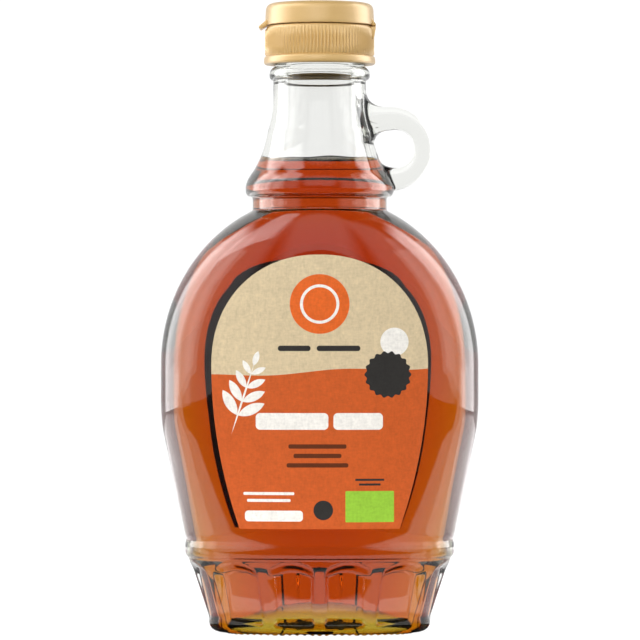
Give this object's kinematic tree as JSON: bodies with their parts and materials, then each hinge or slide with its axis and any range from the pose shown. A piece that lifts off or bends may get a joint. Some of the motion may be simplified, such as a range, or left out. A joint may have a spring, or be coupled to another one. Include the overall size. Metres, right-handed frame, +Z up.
{
  "type": "syrup bottle",
  "caption": "Flat oval clear glass bottle of amber syrup with a small loop handle on its neck, a fluted foot, a gold flip-top cap and arched paper labels.",
  "frame": {"origin": "on the table under the middle of the bottle's foot", "axes": "+Z up, -Y to the front label, +X to the loop handle"},
  "size_m": [0.089, 0.0468, 0.1764],
  "materials": {
    "clear_glass": "clear polished glass, faintly grey-green where it is thick",
    "amber_syrup": "clear amber syrup, red-brown in depth and golden where it is thin",
    "front_paper": "matt printed paper, kraft beige over orange",
    "back_paper": "matt paper",
    "gold_plastic": "satin pearl-gold plastic"
  },
  "bodies": {
    "root": {"glass_bottle": "clear_glass", "syrup": "amber_syrup", "front_label": "front_paper", "back_label": "back_paper", "cap_ring": "gold_plastic", "cap_lid": "gold_plastic"}
  },
  "joints": []
}
